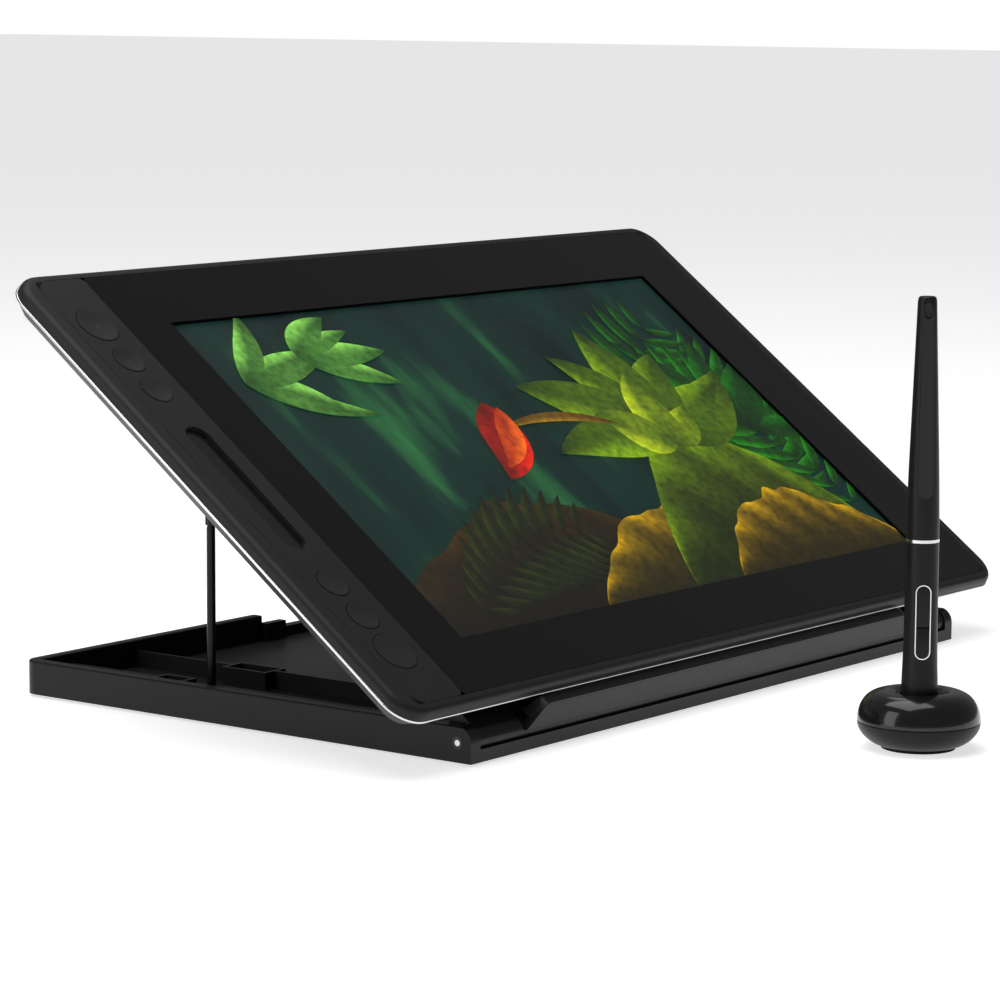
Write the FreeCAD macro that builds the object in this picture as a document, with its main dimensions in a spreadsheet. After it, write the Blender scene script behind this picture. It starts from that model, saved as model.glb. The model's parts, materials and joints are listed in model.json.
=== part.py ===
import FreeCAD, Part
import math
import os
import re

import Sketcher

# A pen display on a folding stand, with its pen standing in a round holder. Millimetres.
# The stand and the holder stand on Z = 0, and the origin is under the middle of the tray.
# Tablet and plate pieces are drawn flat: X across, Y up the screen from its lower edge and
# Z out of the glass, whose face is Z = 0. One placement then tilts them all onto the stand.

SIZES = [
    ("tilt_angle", 37, "slope of the glass over the desk, degrees"),
    ("tilt_base_fore", -120.2, "desk position of the glass plane's lower edge"),
    ("tilt_base_up", 25.9, "height of the glass plane's lower edge"),
    ("tablet_wide", 438, "tablet width"),
    ("tablet_deep", 254, "tablet height up the screen"),
    ("tablet_thick", 11.5, "glass face to rear cover"),
    ("corner_round", 13, "corner radius of the tablet"),
    ("frame_thick", 5, "front frame, glass face to rim trim"),
    ("trim_thick", 0.4, "silver rim trim"),
    ("glass_thick", 1.8, "cover glass and key panel"),
    ("bulge_wide", 8.8, "left side of the frame"),
    ("frame_right", 7.8, "right side of the frame"),
    ("frame_edge", 4.3, "lower and upper sides of the frame"),
    ("glass_left", 37.3, "left tablet edge to the glass"),
    ("key_column", 22.4, "left tablet edge to the key centres"),
    ("key_big_radius", 9.6, "end keys"),
    ("key_small_radius", 7.3, "inner keys"),
    ("key_gap", 0.3, "play round a key"),
    ("key_travel", 0.4, "key stroke"),
    ("strip_low", 88.9, "lower end of the touch strip"),
    ("strip_high", 160.2, "upper end of the touch strip"),
    ("strip_wide", 12, "touch strip width"),
    ("screen_wide", 334, "lit picture width"),
    ("screen_deep", 188, "lit picture height"),
    ("screen_left", 63.2, "left tablet edge to the picture"),
    ("screen_low", 31, "lower tablet edge to the picture"),
    ("cover_bevel", 5.5, "bevel round the rear cover"),
    ("cover_wall", 1.6, "rear cover thickness"),
    ("tray_wide", 358, "tray width"),
    ("tray_deep", 236, "tray depth"),
    ("tray_high", 15, "tray wall top"),
    ("tray_under", 1, "tray underside above the desk"),
    ("tray_wall", 6, "tray side wall"),
    ("tray_floor_top", 3.5, "tray floor height"),
    ("front_wall_top", 6, "low front wall"),
    ("hinge_back", 6.5, "front edge to the hinge axis"),
    ("hinge_up", 8.7, "hinge axis height"),
    ("barrel_radius", 5.6, "hinge barrel"),
    ("nose_radius", 6, "rounded plate nose about the hinge"),
    ("pin_radius", 2.5, "hinge pin"),
    ("plate_thick", 4, "support plate"),
    ("plate_reach", 205, "plate length up the slope"),
    ("plate_wide", 340, "plate width"),
    ("leg_across", 154, "middle to each prop leg"),
    ("leg_back", 153, "front edge to the prop legs"),
    ("leg_pivot_up", 115, "height of the leg pivots"),
    ("leg_foot_up", 5.2, "height of the foot tip"),
    ("leg_radius", 1.8, "round part of a leg"),
    ("rail_one", 25, "side of tray to the outer rail"),
    ("rail_two", 65, "side of tray to the inner rail"),
    ("rail_high", 10.5, "rail top"),
    ("holder_across", -38.5, "holder centre"),
    ("holder_fore", -230.5, "holder centre"),
    ("holder_radius", 24.2, "holder at its widest"),
    ("holder_high", 23, "holder height"),
    ("holder_seam", 10.5, "height of the seam between the two shells"),
    ("bore_radius", 7.6, "pen bore of the holder"),
    ("nib_up", 4.6, "nib tip above the desk"),
    ("pen_long", 172, "pen length"),
    ("pen_ring_up", 76.7, "metal ring above the nib tip"),
    ("pen_face_turn", -51.7, "way the pen's buttons face, degrees"),
]

doc = FreeCAD.newDocument("PenDisplay")
sheet = doc.addObject("Spreadsheet::Sheet", "Sizes")
for row, (alias, number, meaning) in enumerate(SIZES, start=1):
    sheet.set(f"A{row}", alias)
    sheet.set(f"B{row}", str(number))
    sheet.setAlias(f"B{row}", alias)
    sheet.set(f"C{row}", meaning)
doc.recompute()

ALIASES = {alias for alias, _, _ in SIZES}
NODES = {}


def bound(words):
    """A size expression written with the sheet's aliases, as FreeCAD wants it."""
    return re.sub(r"[a-z_]+", lambda found: "Sizes." + found.group() if found.group() in ALIASES
                  else found.group(), str(words))


def value(words):
    """The number that such an expression gives now."""
    return float(sheet.evalExpression(bound(words)))


def place(piece, x=0, y=0, z=0):
    for letter, words in zip("xyz", (x, y, z)):
        piece.setExpression(f"Placement.Base.{letter}", bound(words))
    return piece


def box(name, x, y, z):
    """A block between (low, high) expressions along each axis."""
    block = doc.addObject("Part::Box", name)
    for side, (low, high) in zip(("Length", "Width", "Height"), (x, y, z)):
        block.setExpression(side, bound(f"({high}) - ({low})"))
    return place(block, x[0], y[0], z[0])


def rod(name, centre, radius, length, along="Z"):
    """A cylinder from its centre's start point along X, Y or Z."""
    turns = {"X": (FreeCAD.Vector(0, 1, 0), 90), "Y": (FreeCAD.Vector(1, 0, 0), -90)}
    piece = doc.addObject("Part::Cylinder", name)
    piece.setExpression("Radius", bound(radius))
    piece.setExpression("Height", bound(length))
    if along in turns:
        piece.Placement = FreeCAD.Placement(FreeCAD.Vector(), FreeCAD.Rotation(*turns[along]))
    return place(piece, *centre)


def cone(name, centre, low_radius, high_radius, height):
    piece = doc.addObject("Part::Cone", name)
    piece.setExpression("Radius1", bound(low_radius))
    piece.setExpression("Radius2", bound(high_radius))
    piece.setExpression("Height", bound(height))
    return place(piece, *centre)


def fuse(name, pieces):
    whole = doc.addObject("Part::MultiFuse", name)
    whole.Shapes = pieces
    return whole


def cut(name, base, tools):
    whole = doc.addObject("Part::Cut", name)
    whole.Base = base
    whole.Tool = tools[0] if len(tools) == 1 else fuse(name + "_tools", tools)
    return whole


def group(name, pieces):
    whole = doc.addObject("Part::Compound", name)
    whole.Links = pieces
    return whole


def stadium(name, x, width, low, high, z):
    """A slot shape along Y with round ends, centred on x."""
    radius = f"({width})/2"
    ends = [rod(f"{name}_end_{i}", (x, y, z[0]), radius, f"({z[1]}) - ({z[0]})")
            for i, y in enumerate((f"{low} + {radius}", f"{high} - {radius}"))]
    middle = box(f"{name}_middle", (f"{x} - {radius}", f"{x} + {radius}"),
                 (f"{low} + {radius}", f"{high} - {radius}"), z)
    return fuse(name, ends + [middle])


def node(piece, label, tilted=False):
    """Names a finished sub-part, and leans it on the stand when it belongs to the slope."""
    piece.Label = label
    if tilted:
        piece.Placement = FreeCAD.Placement(FreeCAD.Vector(), FreeCAD.Rotation(FreeCAD.Vector(1, 0, 0), 1))
        piece.setExpression("Placement.Rotation.Angle", bound("tilt_angle"))
        place(piece, 0, "tilt_base_fore", "tilt_base_up")
    NODES[label] = piece
    return piece


def sketch(body, name, role, points, offset="0"):
    """A closed outline of (across, up) expressions on one of the body's own planes."""
    drawing = body.newObject("Sketcher::SketchObject", name)
    plane = [item for item in body.Origin.OriginFeatures if item.Role == role][0]
    drawing.AttachmentSupport = [(plane, "")]
    drawing.MapMode = "FlatFace"
    drawing.setExpression("AttachmentOffset.Base.z", bound(offset))
    corners = [FreeCAD.Vector(value(x), value(y), 0) for x, y in points]
    last = len(corners)
    for i, corner in enumerate(corners):
        drawing.addGeometry(Part.LineSegment(corner, corners[(i + 1) % last]), False)
    for i in range(last):
        drawing.addConstraint(Sketcher.Constraint("Coincident", i, 2, (i + 1) % last, 1))
    for i, (x, y) in enumerate(points):
        for kind, words in (("DistanceX", x), ("DistanceY", y)):
            index = drawing.addConstraint(Sketcher.Constraint(kind, -1, 1, i, 1, value(words)))
            drawing.setExpression(f"Constraints[{index}]", bound(words))
    return drawing


def rectangle(x, y):
    return [(x[0], y[0]), (x[1], y[0]), (x[1], y[1]), (x[0], y[1])]


def pad(body, drawing, length, name="pad"):
    feature = body.newObject("PartDesign::Pad", f"{body.Name}_{name}")
    feature.Profile = drawing
    feature.setExpression("Length", bound(length))
    doc.recompute()
    return feature


def pocket(body, drawing, depth, name="pocket"):
    """Cuts down from the sketch, and makes sure that it removes something."""
    before = body.Shape.Volume
    feature = body.newObject("PartDesign::Pocket", f"{body.Name}_{name}")
    feature.Profile = drawing
    feature.setExpression("Length", bound(depth))
    doc.recompute()
    assert feature.Shape.Volume < before - 0.01, feature.Name
    return feature


def dress(body, kind, chooser, size, name):
    """A Fillet or Chamfer on the edges that the chooser picks."""
    tip = body.Tip
    names = [f"Edge{i}" for i, edge in enumerate(tip.Shape.Edges, start=1) if chooser(edge)]
    feature = body.newObject(f"PartDesign::{kind}", f"{body.Name}_{name}")
    feature.Base = (tip, names)
    feature.setExpression("Radius" if kind == "Fillet" else "Size", bound(size))
    doc.recompute()
    return feature


def upright(edge):
    low, high = edge.Vertexes[0].Point, edge.Vertexes[-1].Point
    return abs(low.x - high.x) + abs(low.y - high.y) < 0.001 and abs(low.z - high.z) > 0.1


def level(height):
    return lambda edge: abs(edge.BoundBox.ZMin - height) + abs(edge.BoundBox.ZMax - height) < 0.001


def plate(name, x, y, z, corner=None):
    """A flat body with rounded corners, from z[0] up to z[1]."""
    body = doc.addObject("PartDesign::Body", name)
    drawing = sketch(body, f"{name}_outline", "XY_Plane", rectangle(x, y), z[0])
    pad(body, drawing, f"({z[1]}) - ({z[0]})")
    if corner:
        dress(body, "Fillet", upright, corner, "corners")
    return body


def window(body, x, y, top, depth, name):
    drawing = sketch(body, f"{body.Name}_{name}_outline", "XY_Plane", rectangle(x, y), top)
    return pocket(body, drawing, depth, name)


LEFT = "-tablet_wide/2"
RIGHT = "tablet_wide/2"
FRAME_UNDER = "-frame_thick"
COVER_TOP = "-frame_thick - trim_thick"
COVER_BACK = "-tablet_thick"
KEYS_AT = "-tablet_wide/2 + key_column"
OPEN_X = ("-tablet_wide/2 + bulge_wide", "tablet_wide/2 - frame_right")
OPEN_Y = ("frame_edge", "tablet_deep - frame_edge")
FIT = 0.2           # play round the glass and the key panel in the frame
LEDGE = 5           # frame ledge that carries the glass
KEY_LEDGE = 2       # the same ledge beside the keys
SCREW_INSET = 6.7   # case screws from the tablet's edge
SCREW_RADIUS = 0.75
HEAD_RADIUS = 1.4
HEAD_HIGH = 1


def inset(limits, by):
    return (f"{limits[0]} + {by}", f"{limits[1]} - {by}")


def screw_places():
    xs = (f"{LEFT} + {SCREW_INSET} + 8", "0", f"{RIGHT} - {SCREW_INSET} - 8")
    ys = (f"{SCREW_INSET}", f"tablet_deep - {SCREW_INSET}")
    return [(x, y) for y in ys for x in xs]


def screws(name, places, radius, low, high, head_radius, head_high):
    pieces = []
    for i, (x, y) in enumerate(places):
        shank = rod(f"{name}_shank_{i}", (x, y, low), radius, f"({high}) - ({low})")
        head = rod(f"{name}_head_{i}", (x, y, low), head_radius, head_high)
        pieces.append(fuse(f"{name}_{i}", [shank, head]))
    return pieces


def front_frame():
    body = plate("front_frame_body", (LEFT, RIGHT), ("0", "tablet_deep"), (FRAME_UNDER, "0"), "corner_round")
    dress(body, "Fillet", level(0), 2.4, "edge")
    window(body, OPEN_X, OPEN_Y, 0, "glass_thick", "seat")
    window(body, (f"{OPEN_X[0]} + {KEY_LEDGE}", f"{OPEN_X[1]} - {LEDGE}"), inset(OPEN_Y, LEDGE), 0, "frame_thick",
           "opening")
    holes = [rod(f"frame_hole_{i}", (x, y, FRAME_UNDER), SCREW_RADIUS + 0.05, "frame_thick - glass_thick")
             for i, (x, y) in enumerate(screw_places())]
    node(cut("front_frame_drilled", body, holes), "front_frame", tilted=True)


def rim_trim():
    body = plate("rim_trim", (f"{LEFT} - 0.15", f"{RIGHT} + 0.15"), ("-0.15", "tablet_deep + 0.15"),
                 (COVER_TOP, FRAME_UNDER), "corner_round")
    window(body, inset((LEFT, RIGHT), 4), inset(("0", "tablet_deep"), 4), FRAME_UNDER, "trim_thick", "opening")
    node(body, "rim_trim", tilted=True)


def rear_cover():
    body = plate("rear_cover_body", (LEFT, RIGHT), ("0", "tablet_deep"), (COVER_BACK, COVER_TOP),
                 "corner_round")
    dress(body, "Chamfer", level(value(COVER_BACK)), "cover_bevel", "bevel")
    depth = "tablet_thick - frame_thick - trim_thick - cover_wall"
    window(body, inset((LEFT, RIGHT), 8), inset(("0", "tablet_deep"), 8), COVER_TOP, depth, "inside")
    holes = []
    for i, (x, y) in enumerate(screw_places()):
        holes.append(rod(f"cover_hole_{i}", (x, y, COVER_BACK), SCREW_RADIUS + 0.05, "tablet_thick"))
        holes.append(rod(f"cover_seat_{i}", (x, y, COVER_BACK), HEAD_RADIUS + 0.1, HEAD_HIGH))
    for name, middle, wide in SOCKETS:
        holes.append(box(f"{name}_cutout", (f"{RIGHT} - 9", RIGHT), (f"{middle} - {wide}/2", f"{middle} + {wide}/2"),
                         (SOCKET_LOW, SOCKET_HIGH)))
    node(cut("rear_cover_drilled", body, holes), "rear_cover", tilted=True)


SOCKETS = [("video_socket", "178", "9.4"), ("power_socket", "158", "9.4"), ("power_button", "206", "12.6")]
SOCKET_LOW = "-9.2"
SOCKET_HIGH = COVER_TOP


def socket(name, middle):
    """A flat connector shell, open towards the right side of the tablet."""
    shell = box(f"{name}_shell", (f"{RIGHT} - 8.5", f"{RIGHT} - 0.9"), (f"{middle} - 4.5", f"{middle} + 4.5"),
                ("-8.9", "-5.6"))
    mouth = box(f"{name}_mouth", (f"{RIGHT} - 7.5", RIGHT), (f"{middle} - 4.1", f"{middle} + 4.1"),
                ("-8.5", "-6"))
    tongue = box(f"{name}_tongue", (f"{RIGHT} - 8", f"{RIGHT} - 1.6"), (f"{middle} - 3.3", f"{middle} + 3.3"),
                 ("-7.6", "-6.9"))
    hollow = cut(f"{name}_hollow", shell, [mouth])
    node(fuse(f"{name}_whole", [hollow, tongue]), name, tilted=True)


def power_button():
    """Slides into the right side; its flange stays inside the cover wall."""
    cap = box("power_button_cap", (f"{RIGHT} - 7", f"{RIGHT} + 0.3"), ("200", "212"), ("-8.9", "-5.8"))
    node(fuse("power_button_whole", [cap, box("power_button_stem", (f"{RIGHT} - 8.4", f"{RIGHT} - 7"),
                                             ("204", "208"), ("-8.1", "-6.6"))]), "power_button", tilted=True)


def layer(label, x, y, z, corner=None):
    node(plate(label, x, y, z, corner), label, tilted=True)


def display_stack():
    middle = "-tablet_wide/2 + screen_left + screen_wide/2"
    centre = "screen_low + screen_deep/2"

    def about(wide, deep):
        return ((f"{middle} - {wide}/2", f"{middle} + {wide}/2"), (f"{centre} - {deep}/2", f"{centre} + {deep}/2"))
    glass_x = ("-tablet_wide/2 + glass_left", f"tablet_wide/2 - frame_right - {FIT}")
    layer("cover_glass", glass_x, inset(OPEN_Y, FIT), ("-glass_thick", "0"), 2)
    layer("lit_screen", *about("screen_wide", "screen_deep"), ("-glass_thick - 0.3", "-glass_thick"))
    layer("display_module", *about(344, 198), ("-glass_thick - 3.3", "-glass_thick - 0.3"), 1)
    layer("pen_sensor_board", *about(342, 196), ("-5.9", "-glass_thick - 3.3"))
    layer("steel_shield", *about(346, 200), ("-6.3", "-5.9"), 2)
    board = plate("main_board_sheet", ("60", "190"), ("120", "215"), ("-8.6", "-7.6"))
    chips = [box(f"main_board_chip_{i}", (x, f"{x} + {wide}"), (y, f"{y} + {wide}"), ("-7.6", "-6.6"))
             for i, (x, y, wide) in enumerate(((80, 150, 14), (110, 172, 9), (140, 140, 11), (165, 180, 7)))]
    posts = [rod(f"main_board_post_{i}", (x, y, "-tablet_thick + cover_wall"), 2, "tablet_thick - cover_wall - 8.6")
             for i, (x, y) in enumerate(((66, 126), (184, 126), (66, 209), (184, 209)))]
    node(fuse("main_board_whole", [board] + chips + posts), "main_board", tilted=True)


KEY_PLACES = [("key_1", 221.6, "key_big_radius"), ("key_2", 200.5, "key_small_radius"),
              ("key_3", 182.3, "key_small_radius"), ("key_4", 69.6, "key_small_radius"),
              ("key_5", 51.1, "key_small_radius"), ("key_6", 31.3, "key_big_radius")]
KEY_UNDER = "-glass_thick - 1.1"


def key_panel():
    body = plate("key_panel_body", (f"{OPEN_X[0]} + {FIT}", "-tablet_wide/2 + glass_left - 0.1"), inset(OPEN_Y, FIT),
                 ("-glass_thick", "0"), 3)
    holes = [rod(f"panel_hole_{label}", (KEYS_AT, y, "-glass_thick"), radius, "glass_thick")
             for label, y, radius in KEY_PLACES]
    holes.append(stadium("panel_slot", KEYS_AT, "strip_wide", "strip_low", "strip_high", ("-glass_thick", "0")))
    node(cut("key_panel_drilled", body, holes), "key_panel", tilted=True)
    tray = stadium("touch_strip_whole", KEYS_AT, "strip_wide + 2", "strip_low - 1", "strip_high + 1",
                   ("-glass_thick - 0.9", "-glass_thick"))
    node(tray, "touch_strip", tilted=True)


def keys():
    for label, y, radius in KEY_PLACES:
        cap = rod(f"{label}_cap", (KEYS_AT, y, KEY_UNDER), f"{radius} - key_gap", f"0.2 - ({KEY_UNDER})")
        flange = rod(f"{label}_flange", (KEYS_AT, y, KEY_UNDER), f"{radius} + 0.9", 0.8)
        dish = doc.addObject("Part::Sphere", f"{label}_dish")
        dish.setExpression("Radius", bound(f"({radius})*({radius})"))
        place(dish, KEYS_AT, y, f"({radius})*({radius}) - 0.2")
        node(cut(f"{label}_whole", fuse(f"{label}_solid", [cap, flange]), [dish]), label, tilted=True)
    board = box("key_board_sheet", ("-tablet_wide/2 + 14.5", "-tablet_wide/2 + 31"), ("18", "236"), ("-4.9", "-4.1"))
    switches = [box(f"key_switch_{label}", (f"{KEYS_AT} - 2", f"{KEYS_AT} + 2"), (f"{y} - 2", f"{y} + 2"),
                    ("-4.1", "-3.65")) for label, y, _ in KEY_PLACES]
    hangers = [rod(f"key_board_post_{i}", (KEYS_AT, y, "-4.1"), 1.5, "4.1 - glass_thick - 0.9")
               for i, y in enumerate((100, 150))]
    node(fuse("key_board_whole", [board] + switches + hangers), "key_board", tilted=True)


HINGE_Y = "-tray_deep/2 + hinge_back"
EAR_X = "tray_wide/2 - tray_wall"
PIN_INTO = 14      # how far a hinge pin reaches into the barrel
PIN_FIT = 0.05     # radial running clearance on hinge and leg pivots


def tray_feature(pieces, name, x, y, top):
    pieces.append(box(name, x, y, ("tray_floor_top - 0.5", top)))


def pocket_ring(pieces, name, middle, low, high, top):
    """Two thin walls beside a rail and two across, leaving a pocket for a leg's foot."""
    tray_feature(pieces, f"{name}_out", (f"{middle} - 6.5", f"{middle} - 5.1"), (low, high), top)
    tray_feature(pieces, f"{name}_in", (f"{middle} + 5.1", f"{middle} + 6.5"), (low, high), top)
    tray_feature(pieces, f"{name}_back", (f"{middle} - 6.5", f"{middle} + 6.5"), (f"{high} - 1.4", high), top)
    tray_feature(pieces, f"{name}_fore", (f"{middle} - 6.5", f"{middle} + 6.5"), (low, f"{low} + 1.4"), top)


def from_front(distance):
    return f"-tray_deep/2 + {distance}"


def tray_ribs():
    pieces = []
    for side, sign in (("left", "-"), ("right", "")):
        outer = f"{sign}(tray_wide/2 - rail_one)"
        inner = f"{sign}(tray_wide/2 - rail_two)"
        for name, middle, end in (("outer", outer, 147), ("inner", inner, 153)):
            tray_feature(pieces, f"rail_{name}_fore_{side}", (f"{middle} - 0.7", f"{middle} + 0.7"),
                         (from_front(22), from_front(end)), "rail_high")
        tray_feature(pieces, f"rail_outer_back_{side}", (f"{outer} - 0.7", f"{outer} + 0.7"),
                     (from_front(183), f"tray_deep/2 - 4"), "rail_high")
        tray_feature(pieces, f"rail_inner_back_{side}", (f"{inner} - 0.7", f"{inner} + 0.7"),
                     (from_front(177), f"tray_deep/2 - 4"), "rail_high")
        pocket_ring(pieces, f"ring_foot_{side}", outer, from_front(147), from_front(168), "rail_high - 3")
        pocket_ring(pieces, f"ring_next_{side}", outer, from_front(167), from_front(183), "rail_high")
        pocket_ring(pieces, f"ring_inner_{side}", inner, from_front(153), from_front(177), "rail_high")
        wall = f"{sign}(tray_wide/2 - tray_wall/2)"
        low, high = (wall, f"{outer} + 0.7") if sign else (f"{outer} - 0.7", wall)
        for i, distance in enumerate((48, 84, 120, 200)):
            tray_feature(pieces, f"cross_rib_{side}_{i}", (low, high),
                         (from_front(distance), from_front(distance + 1.4)), "rail_high - 1")
    pieces.append(box("latch_block", ("-32", "-19"), ("tray_deep/2 - 8", "tray_deep/2 - 4"), ("3", "11.5")))
    return pieces


def base_tray():
    body = plate("base_tray_body", ("-tray_wide/2", "tray_wide/2"), ("-tray_deep/2", "tray_deep/2"),
                 ("tray_under", "tray_high"))
    dress(body, "Fillet", lambda edge: upright(edge) and edge.Vertexes[0].Point.y > 0, 7, "back_corners")
    inside = "tray_wide/2 - tray_wall"
    window(body, (f"-({inside})", inside), (from_front(16), "tray_deep/2 - 5"), "tray_high",
           "tray_high - tray_floor_top", "inside")
    window(body, (f"-({EAR_X})", EAR_X), (from_front(-1), from_front(17)), "tray_high",
           "tray_high - front_wall_top", "front")
    window(body, ("-32", "32"), ("tray_deep/2 - 6", "tray_deep/2 + 1"), "tray_high", "7", "back_gap")
    dress(body, "Fillet", level(value("tray_high")), 0.8, "top_edges")
    cavity = rod("barrel_cavity", (f"-({EAR_X})", HINGE_Y, "hinge_up"), "nose_radius + 0.3",
                 f"2*({EAR_X})", "X")
    clear = box("plate_clearance", (f"-({EAR_X})", EAR_X), (HINGE_Y, from_front(16.2)), ("tray_floor_top", "tray_high"))
    holes = [rod("ear_hole_left", ("-tray_wide/2 - 1", HINGE_Y, "hinge_up"), "pin_radius", "tray_wall + 2", "X"),
             rod("ear_hole_right", (f"{EAR_X} - 1", HINGE_Y, "hinge_up"), "pin_radius", "tray_wall + 2", "X")]
    corner = box("ear_corner", ("-tray_wide/2 - 1", "tray_wide/2 + 1"), (from_front(-1), HINGE_Y), ("hinge_up", 20))
    keep = rod("ear_round", ("-tray_wide/2 - 1", HINGE_Y, "hinge_up"), "hinge_back", "tray_wide + 2", "X")
    nose = cut("ear_nose_waste", corner, [keep])
    shell = cut("tray_shell", body, [cavity, clear, nose] + holes)
    node(fuse("base_tray_whole", [shell] + tray_ribs()), "base_tray")
    feet = [rod(f"tray_foot_{i}", (f"{x}*(tray_wide/2 - 22)", f"{y}*(tray_deep/2 - 20)", 0), 6, "tray_under")
            for i, (x, y) in enumerate(((-1, -1), (1, -1), (1, 1), (-1, 1)))]
    node(group("tray_feet_group", feet), "tray_feet")


def hinge_pins():
    for label, start in (("hinge_pin_left", "-tray_wide/2 - 0.2"),
                         ("hinge_pin_right", f"{EAR_X} - {PIN_INTO}")):
        node(rod(label, (start, HINGE_Y, "hinge_up"), "pin_radius", f"tray_wall + {PIN_INTO} + 0.2", "X"), label)


def on_slope(y, z):
    """Desk position and height as numbers along and out of the sloping glass."""
    angle = math.radians(value("tilt_angle"))
    fore = y - value("tilt_base_fore")
    rise = z - value("tilt_base_up")
    return (fore * math.cos(angle) + rise * math.sin(angle), rise * math.cos(angle) - fore * math.sin(angle))


def support_plate():
    slope = FreeCAD.Rotation(FreeCAD.Vector(1, 0, 0), value("tilt_angle"))
    base = FreeCAD.Vector(0, value("tilt_base_fore"), value("tilt_base_up"))
    hinge = on_slope(value(HINGE_Y), value("hinge_up"))
    pivot = on_slope(value(from_front("leg_back")), value("leg_pivot_up"))
    front = hinge[1] + value("nose_radius")
    back = front - value("plate_thick")
    half = value(EAR_X) - 0.4

    def at(radius, degrees):
        angle = math.radians(degrees)
        return FreeCAD.Vector(0, hinge[0] + radius * math.cos(angle), hinge[1] + radius * math.sin(angle))
    small, large = value("barrel_radius"), value("nose_radius")
    # Nose outline: the barrel below and behind, the larger round in front, the plate above.
    lift = 135
    edges = [Part.Arc(at(large, 90), at(large, (90 + lift) / 2), at(large, lift)).toShape(),
             Part.LineSegment(at(large, lift), at(small, lift)).toShape(),
             Part.Arc(at(small, lift), at(small, 232), at(small, 330)).toShape(),
             Part.LineSegment(at(small, 330), FreeCAD.Vector(0, 13, back)).toShape(),
             Part.LineSegment(FreeCAD.Vector(0, 13, back), FreeCAD.Vector(0, 13, front)).toShape(),
             Part.LineSegment(FreeCAD.Vector(0, 13, front), at(large, 90)).toShape()]
    nose = Part.Face(Part.Wire(edges)).extrude(FreeCAD.Vector(2 * half, 0, 0))
    nose.translate(FreeCAD.Vector(-half, 0, 0))
    wide = value("plate_wide")
    sheet_part = Part.makeBox(wide, value("plate_reach") - 12, -back + front, FreeCAD.Vector(-wide / 2, 12, back))
    solid = nose.fuse(sheet_part)
    # The lip that keeps the tablet from sliding off the slope.
    low, high = 143, 134
    lip_front, lip_back, lip_top = -5.4, -0.6, -5.2
    lip_low = hinge[1] + large * math.sin(math.radians(lift))
    outline = [FreeCAD.Vector(x, lip_front, z) for x, z in
               ((-low, lip_low), (-high, lip_top), (high, lip_top), (low, lip_low), (-low, lip_low))]
    lip = Part.Face(Part.makePolygon(outline)).extrude(FreeCAD.Vector(0, lip_back - lip_front, 0))
    upright_edges = [edge for edge in lip.Edges if edge.BoundBox.YLength > 1 and edge.BoundBox.ZMin > lip_top - 1]
    lip = lip.makeFillet(6, upright_edges)
    root = Part.makeBox(2 * low, 6, front - lip_low + 0.5, FreeCAD.Vector(-low, lip_front, lip_low - 0.5))
    solid = solid.fuse([lip, root])
    # V-shaped notches in the nose between the barrel ends and the lip.
    for sign in (-1, 1):
        notch = [FreeCAD.Vector(sign * x, -12, z) for x, z in
                 ((146, -12), (144.5, -15.4), (141, -15.4), (134, -12), (146, -12))]
        solid = solid.cut(Part.Face(Part.makePolygon(notch)).extrude(FreeCAD.Vector(0, 16, 0)))
    for x in (-17, 17):
        solid = solid.cut(Part.makeBox(5, 1, 2.4, FreeCAD.Vector(x - 2.5, lip_front - 0.5, -8.6)))
    # Cheeks for the leg pivots, two to each leg.
    across = value("leg_across")
    pin = 1.25
    for sign in (-1, 1):
        for inner in (-4.2, 2.2):
            cheek = Part.makeBox(2, 9, back - pivot[1] + 4.5, FreeCAD.Vector(sign * across + inner, pivot[0] - 4.5,
                                                                             pivot[1] - 4.5))
            solid = solid.fuse(cheek)
        drill = Part.makeCylinder(pin, 12, FreeCAD.Vector(sign * across - 6, *pivot), FreeCAD.Vector(1, 0, 0))
        solid = solid.cut(drill)
        bore = Part.makeCylinder(value("pin_radius") + PIN_FIT, PIN_INTO + 1.2,
                                 FreeCAD.Vector(sign * (half + 0.2), *hinge), FreeCAD.Vector(-sign, 0, 0))
        solid = solid.cut(bore)
    made = doc.addObject("Part::Feature", "support_plate_whole")
    made.Shape = solid.removeSplitter()
    made.Placement = FreeCAD.Placement(base, slope)
    node(made, "support_plate")
    inserts = []
    for side, x in (("left", -17), ("right", 17)):
        inserts.append(box(f"lip_insert_{side}", (x - 2.5, x + 2.5), (lip_front - 0.1, lip_front + 0.5),
                           ("-8.6", "-6.2")))
    node(group("lip_inserts_group", inserts), "lip_inserts", tilted=True)
    pads = [box(f"plate_pad_{i}", (x, f"{x} + {wide}"), (y, y + 9), (front, "-tablet_thick - 0.3"))
            for i, (x, y, wide) in enumerate(((-150, 24, 300), (-150, 178, 110), (40, 178, 110)))]
    node(group("plate_pads_group", pads), "plate_pads", tilted=True)


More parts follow.
